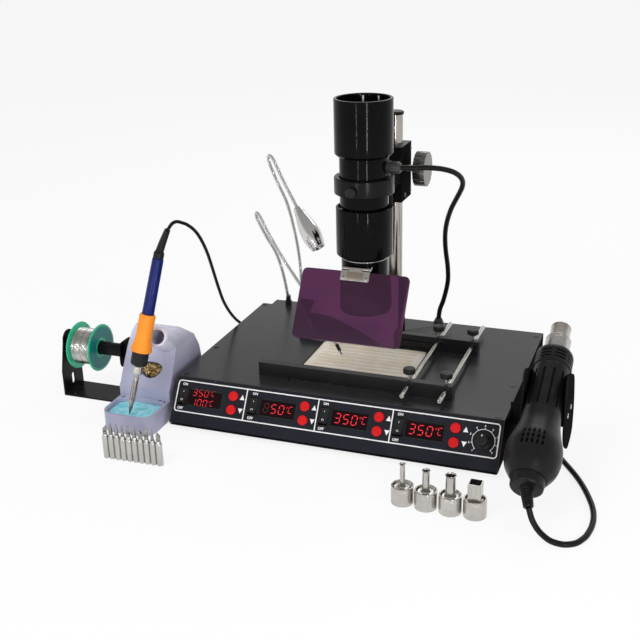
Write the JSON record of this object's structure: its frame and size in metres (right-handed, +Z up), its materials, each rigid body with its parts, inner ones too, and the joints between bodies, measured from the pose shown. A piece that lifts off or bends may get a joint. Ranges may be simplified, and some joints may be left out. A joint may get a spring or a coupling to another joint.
{
  "type": "bga rework station",
  "caption": "Bench rework station with an infrared lamp on a rack column, a preheat plate with board holder, a hot-air gun, a soldering iron on its stand and a solder reel.",
  "frame": {"origin": "bottom centre of everything but the cables, on the bench surface", "axes": "+X to the right along the front panel, +Y to the rear, +Z up"},
  "size_m": [0.6669, 0.4401, 0.3734],
  "materials": {
    "case_paint": "satin",
    "panel_film": "matt",
    "board_green": "matt",
    "gloss_black": "gloss",
    "black_metal": "satin",
    "button_red": "satin",
    "knob_black": "satin",
    "ceramic": "matt",
    "chrome": "polished",
    "steel": "brushed",
    "gunmetal": "satin",
    "bulb_glass": "gloss",
    "filter_glass": "gloss",
    "stand_plastic": "satin",
    "sponge_cyan": "matt",
    "brass_wool": "coiled",
    "handle_blue": "gloss",
    "grip_orange": "matt",
    "spool_green": "gloss",
    "solder": "satin",
    "nickel": "satin",
    "gun_black": "satin",
    "cable_black": "matt"
  },
  "bodies": {
    "station": {"base_pan": "case_paint", "top_cover": "case_paint", "front_panel": "panel_film", "control_board": "board_green", "preheat_plate": "ceramic", "column": "chrome", "left_guide_rod": "steel", "right_guide_rod": "steel", "led_gooseneck": "chrome", "led_head": "chrome", "sensor_gooseneck": "chrome", "stand_body": "stand_plastic", "sponge": "sponge_cyan", "brass_wool": "brass_wool", "reel_bracket": "black_metal", "gun_holder": "black_metal", "spare_tips": "nickel", "nozzle_1": "nickel", "nozzle_2": "nickel", "nozzle_3": "nickel", "nozzle_4": "nickel", "lamp_cable": "cable_black", "iron_cable": "cable_black", "gun_cable": "cable_black"},
    "lamp": {"carriage": "black_metal", "lamp_collar": "gloss_black", "lamp_tube": "gloss_black", "lamp_shade": "gloss_black", "lamp_barrel": "gloss_black", "ir_bulb": "bulb_glass"},
    "height_knob": {"height_knob": "gunmetal"},
    "collar_screw": {"collar_screw": "black_metal"},
    "filter": {"filter_clip": "steel", "filter_glass": "filter_glass"},
    "power_switch_1": {"power_switch_1": "gloss_black"},
    "power_switch_2": {"power_switch_2": "gloss_black"},
    "power_switch_3": {"power_switch_3": "gloss_black"},
    "power_switch_4": {"power_switch_4": "gloss_black"},
    "up_button_1": {"up_button_1": "button_red"},
    "up_button_2": {"up_button_2": "button_red"},
    "up_button_3": {"up_button_3": "button_red"},
    "up_button_4": {"up_button_4": "button_red"},
    "down_button_1": {"down_button_1": "button_red"},
    "down_button_2": {"down_button_2": "button_red"},
    "down_button_3": {"down_button_3": "button_red"},
    "down_button_4": {"down_button_4": "button_red"},
    "airflow_knob": {"airflow_knob": "knob_black"},
    "front_jaw": {"front_jaw": "black_metal"},
    "rear_jaw": {"rear_jaw": "black_metal"},
    "front_left_screw": {"front_left_screw": "gloss_black"},
    "front_right_screw": {"front_right_screw": "gloss_black"},
    "rear_left_screw": {"rear_left_screw": "gloss_black"},
    "rear_right_screw": {"rear_right_screw": "gloss_black"},
    "spool": {"solder_spool": "spool_green", "solder_wire": "solder"},
    "iron": {"iron_handle": "handle_blue", "iron_grip": "grip_orange", "iron_barrel": "steel"},
    "gun": {"gun_body": "gun_black", "gun_barrel": "steel"}
  },
  "joints": [
    {"name": "lamp_height", "type": "slide", "parent": "station", "child": "lamp", "axis": [0, 0, 1], "range_m": [-0.024, 0.026]},
    {"name": "height_knob_turn", "type": "hinge", "parent": "lamp", "child": "height_knob", "pos_m": [0.06067, 0.11504, 0.2745], "axis": [1, 0, 0], "range_deg": [-210, 195]},
    {"name": "collar_screw_turn", "type": "hinge", "parent": "lamp", "child": "collar_screw", "pos_m": [0.05764, -0.01838, 0.2759], "axis": [-0.0899, -0.996, 0], "continuous": true},
    {"name": "filter_flip", "type": "hinge", "parent": "lamp", "child": "filter", "pos_m": [0.06067, -0.01502, 0.1872], "axis": [-1, 0, 0], "range_deg": [-28.65, 54.43]},
    {"name": "power_switch_1_tilt", "type": "hinge", "parent": "station", "child": "power_switch_1", "pos_m": [-0.13173, -0.08676, 0.03464], "axis": [1, 0, 0], "range_deg": [0, 22.9]},
    {"name": "power_switch_2_tilt", "type": "hinge", "parent": "station", "child": "power_switch_2", "pos_m": [-0.04202, -0.08676, 0.03464], "axis": [1, 0, 0], "range_deg": [0, 22.9]},
    {"name": "power_switch_3_tilt", "type": "hinge", "parent": "station", "child": "power_switch_3", "pos_m": [0.04458, -0.08676, 0.03464], "axis": [1, 0, 0], "range_deg": [0, 22.9]},
    {"name": "power_switch_4_tilt", "type": "hinge", "parent": "station", "child": "power_switch_4", "pos_m": [0.13126, -0.08676, 0.03464], "axis": [1, 0, 0], "range_deg": [0, 22.9]},
    {"name": "up_button_1_press", "type": "slide", "parent": "station", "child": "up_button_1", "axis": [0, 0.8371, -0.5471], "range_m": [0, 0.001], "stiffness_N_per_m": 400},
    {"name": "up_button_2_press", "type": "slide", "parent": "station", "child": "up_button_2", "axis": [0, 0.8371, -0.5471], "range_m": [0, 0.001], "stiffness_N_per_m": 400},
    {"name": "up_button_3_press", "type": "slide", "parent": "station", "child": "up_button_3", "axis": [0, 0.8371, -0.5471], "range_m": [0, 0.001], "stiffness_N_per_m": 400},
    {"name": "up_button_4_press", "type": "slide", "parent": "station", "child": "up_button_4", "axis": [0, 0.8371, -0.5471], "range_m": [0, 0.001], "stiffness_N_per_m": 400},
    {"name": "down_button_1_press", "type": "slide", "parent": "station", "child": "down_button_1", "axis": [0, 0.8371, -0.5471], "range_m": [0, 0.001], "stiffness_N_per_m": 400},
    {"name": "down_button_2_press", "type": "slide", "parent": "station", "child": "down_button_2", "axis": [0, 0.8371, -0.5471], "range_m": [0, 0.001], "stiffness_N_per_m": 400},
    {"name": "down_button_3_press", "type": "slide", "parent": "station", "child": "down_button_3", "axis": [0, 0.8371, -0.5471], "range_m": [0, 0.001], "stiffness_N_per_m": 400},
    {"name": "down_button_4_press", "type": "slide", "parent": "station", "child": "down_button_4", "axis": [0, 0.8371, -0.5471], "range_m": [0, 0.001], "stiffness_N_per_m": 400},
    {"name": "airflow_turn", "type": "hinge", "parent": "station", "child": "airflow_knob", "pos_m": [0.22558, -0.08926, 0.03448], "axis": [0, -0.8371, 0.5471], "range_deg": [-137.5, 137.5]},
    {"name": "front_jaw_slide", "type": "slide", "parent": "station", "child": "front_jaw", "axis": [0, 1, 0], "range_m": [-0.02, 0.055]},
    {"name": "rear_jaw_slide", "type": "slide", "parent": "station", "child": "rear_jaw", "axis": [0, 1, 0], "range_m": [-0.038, 0.018]},
    {"name": "front_left_screw_turn", "type": "hinge", "parent": "front_jaw", "child": "front_left_screw", "pos_m": [0.13018, -0.04102, 0.0716], "axis": [0, 0, 1], "continuous": true},
    {"name": "front_right_screw_turn", "type": "hinge", "parent": "front_jaw", "child": "front_right_screw", "pos_m": [0.17267, -0.04102, 0.0716], "axis": [0, 0, 1], "continuous": true},
    {"name": "rear_left_screw_turn", "type": "hinge", "parent": "rear_jaw", "child": "rear_left_screw", "pos_m": [0.13018, 0.09198, 0.0716], "axis": [0, 0, 1], "continuous": true},
    {"name": "rear_right_screw_turn", "type": "hinge", "parent": "rear_jaw", "child": "rear_right_screw", "pos_m": [0.17267, 0.09198, 0.0716], "axis": [0, 0, 1], "continuous": true},
    {"name": "spool_spin", "type": "hinge", "parent": "station", "child": "spool", "pos_m": [-0.29833, -0.04452, 0.063], "axis": [1, 0, 0], "continuous": true},
    {"name": "iron_lift", "type": "slide", "parent": "station", "child": "iron", "axis": [-0.8004, -0.5003, 0.3302], "range_m": [0, 0.06]},
    {"name": "gun_lift", "type": "slide", "parent": "station", "child": "gun", "axis": [0, -0.419, 0.908], "range_m": [0, 0.055]}
  ],
  "couplings": [
    {"joint": "height_knob_turn", "follows": "lamp_height", "rad_per_m": -138.89}
  ]
}
